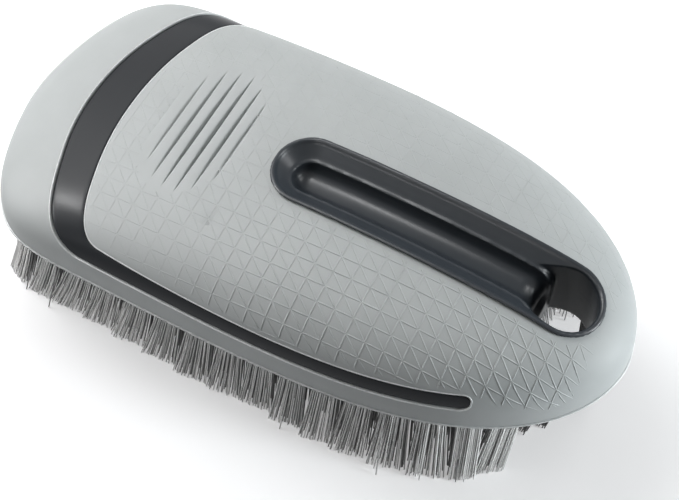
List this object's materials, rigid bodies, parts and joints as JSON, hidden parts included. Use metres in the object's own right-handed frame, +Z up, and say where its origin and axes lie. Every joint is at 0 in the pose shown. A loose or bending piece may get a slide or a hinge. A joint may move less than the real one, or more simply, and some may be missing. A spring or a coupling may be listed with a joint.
{
  "type": "carpet brush",
  "caption": "Hand-held oval carpet brush with a domed soft-grip body, a black band and side stripes, a finger well with a through hole, and splayed bristle tufts.",
  "frame": {"origin": "centre of the footprint, on the floor under the trimmed bristle tips", "axes": "+X along the body from its wide heel to its narrow nose, +Y across it, +Z up from the bristle tips to the dome"},
  "size_m": [0.17, 0.0874, 0.0532],
  "materials": {
    "grey_soft_grip": "satin moulded soft grip",
    "black_satin_plastic": "satin",
    "black_gloss_plastic": "gloss",
    "grey_nylon": "nylon filament",
    "black_nylon": "nylon filament",
    "zinc_steel": "bright zinc"
  },
  "bodies": {
    "root": {"grip_cover": "grey_soft_grip", "core_housing": "black_satin_plastic", "finger_well": "black_gloss_plastic", "brush_block": "black_satin_plastic", "block_screw_1": "zinc_steel", "block_screw_2": "zinc_steel", "block_screw_3": "zinc_steel", "block_screw_4": "zinc_steel", "tuft_row_01": "grey_nylon", "tuft_row_02": "grey_nylon", "tuft_row_03": "grey_nylon", "tuft_row_04": "grey_nylon", "tuft_row_05": "grey_nylon", "tuft_row_06": "grey_nylon", "tuft_row_07": "grey_nylon", "tuft_row_08": "grey_nylon", "tuft_row_09": "grey_nylon", "tuft_row_10": "grey_nylon", "tuft_row_11": "grey_nylon", "tuft_row_12": "grey_nylon", "tuft_row_13": "grey_nylon", "tuft_row_14": "grey_nylon", "tuft_row_15": "grey_nylon", "shoulder_tufts_near": "grey_nylon", "shoulder_tufts_far": "grey_nylon", "nose_tufts_near": "black_nylon", "nose_tufts_far": "black_nylon"}
  },
  "joints": []
}
